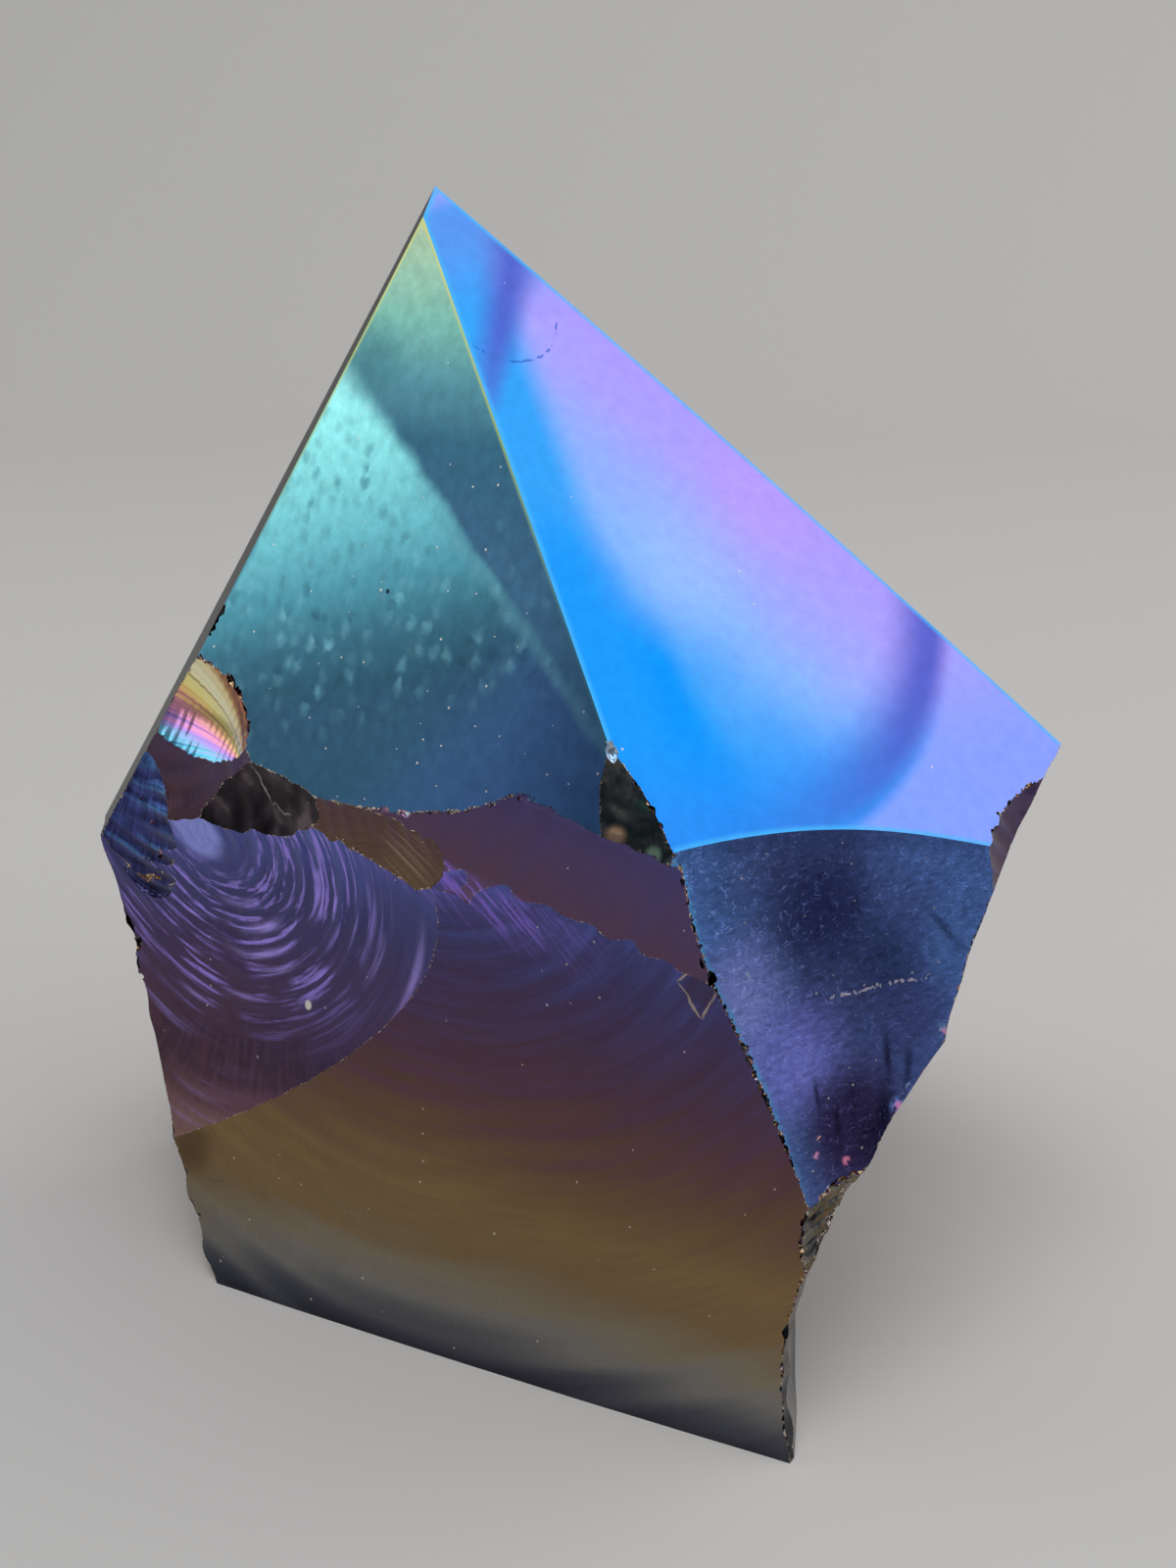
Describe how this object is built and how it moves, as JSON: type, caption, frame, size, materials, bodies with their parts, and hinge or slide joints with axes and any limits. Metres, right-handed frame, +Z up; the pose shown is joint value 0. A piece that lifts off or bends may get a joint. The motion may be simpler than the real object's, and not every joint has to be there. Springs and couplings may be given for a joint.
{
  "type": "titanium aura obsidian point",
  "caption": "Faceted stone point: polished upper facets meet in a tip above rippled natural breaks, and a flat sawn foot stands it upright on a shelf or table.",
  "frame": {"origin": "centre of the bounding box at the flat sawn foot", "axes": "+Z up through the tip, -Y towards the front with the teal and blue polished facets, +X to the right of that front"},
  "size_m": [0.0814, 0.0686, 0.0906],
  "materials": {
    "titanium_coated_obsidian": "polished facets and glassy breaks under an iridescent titanium film"
  },
  "bodies": {
    "root": {"obsidian_point": "titanium_coated_obsidian"}
  },
  "joints": []
}
